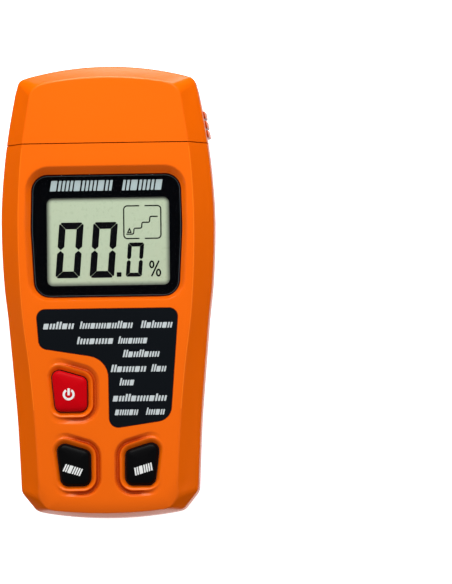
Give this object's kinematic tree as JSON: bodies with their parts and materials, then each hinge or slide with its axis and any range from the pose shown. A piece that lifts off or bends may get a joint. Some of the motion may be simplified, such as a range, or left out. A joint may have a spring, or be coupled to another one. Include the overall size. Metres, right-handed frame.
{
  "type": "moisture meter",
  "caption": "Handheld pin-type wood moisture meter: a waisted moulded housing with a display window, push buttons and a pull-off cap over steel electrodes.",
  "frame": {"origin": "centre of the rectangle that the meter covers with its cap on, on the surface its back lies on", "axes": "+Z out of the face with the display, +Y along the electrodes towards the cap, +X to the right of someone reading the display"},
  "size_m": [0.065, 0.138, 0.0289],
  "materials": {
    "housing_plastic": "satin moulded orange ABS",
    "lens_plastic": "clear polished acrylic",
    "mask_ink": "black printed film",
    "lcd_glass": "grey-green liquid crystal panel",
    "frame_plastic": "white moulded frame",
    "conductive_rubber": "layered grey elastomer",
    "board_laminate": "green solder mask",
    "component_black": "moulded black",
    "component_steel": "drawn steel can",
    "component_grey": "grey sleeve",
    "button_red": "satin red",
    "button_black": "satin black",
    "label_film": "matt black film",
    "label_paper": "silver film",
    "electrode_steel": "polished stainless steel",
    "socket_brass": "turned brass",
    "wire_white": "insulation",
    "wire_red": "insulation",
    "wire_black": "insulation",
    "battery_jacket": "plain dark printed jacket",
    "foam": "closed-cell foam",
    "screw_steel": "dark plated steel"
  },
  "bodies": {
    "housing": {"front_shell": "housing_plastic", "back_shell": "housing_plastic", "pin_right": "electrode_steel", "pin_nut_right": "electrode_steel", "pin_socket_right": "socket_brass", "pin_lead_right": "wire_white", "pin_left": "electrode_steel", "pin_nut_left": "electrode_steel", "pin_socket_left": "socket_brass", "pin_lead_left": "wire_white", "electrode_block": "component_black", "display_lens": "lens_plastic", "lens_mask": "mask_ink", "lcd_panel": "lcd_glass", "lcd_frame": "frame_plastic", "lcd_connector_strip": "conductive_rubber", "circuit_board": "board_laminate", "controller_chip": "component_black", "quartz_crystal": "component_steel", "calibration_trimmer": "frame_plastic", "filter_capacitor": "component_grey", "buzzer": "component_black", "power_switch": "component_grey", "mode_switch": "component_grey", "hold_switch": "component_grey", "species_label": "label_film", "rating_label": "label_paper", "battery": "battery_jacket", "battery_terminal_positive": "component_steel", "battery_terminal_negative": "component_steel", "battery_snap": "component_black", "battery_lead_positive": "wire_red", "battery_lead_negative": "wire_black", "battery_pad": "foam", "case_screw_1": "screw_steel", "case_screw_2": "screw_steel", "case_screw_3": "screw_steel", "case_screw_4": "screw_steel", "board_screw_1": "screw_steel", "board_screw_2": "screw_steel", "board_screw_3": "screw_steel", "board_screw_4": "screw_steel"},
    "cap": {"pin_cap": "housing_plastic"},
    "door": {"battery_door": "housing_plastic"},
    "power_key": {"power_button": "button_red", "power_switch_plunger": "component_black"},
    "mode_key": {"mode_button": "button_black", "mode_switch_plunger": "component_black"},
    "hold_key": {"hold_button": "button_black", "hold_switch_plunger": "component_black"}
  },
  "joints": [
    {"name": "cap_pull_off", "type": "slide", "parent": "housing", "child": "cap", "axis": [0, 1, 0], "range_m": [0, 0.04]},
    {"name": "door_slide_off", "type": "slide", "parent": "housing", "child": "door", "axis": [0, -1, 0], "range_m": [0, 0.065]},
    {"name": "power_press", "type": "slide", "parent": "housing", "child": "power_key", "axis": [0, 0, -1], "range_m": [0, 0.0008], "stiffness_N_per_m": 800},
    {"name": "mode_press", "type": "slide", "parent": "housing", "child": "mode_key", "axis": [0, 0, -1], "range_m": [0, 0.0008], "stiffness_N_per_m": 800},
    {"name": "hold_press", "type": "slide", "parent": "housing", "child": "hold_key", "axis": [0, 0, -1], "range_m": [0, 0.0008], "stiffness_N_per_m": 800}
  ]
}
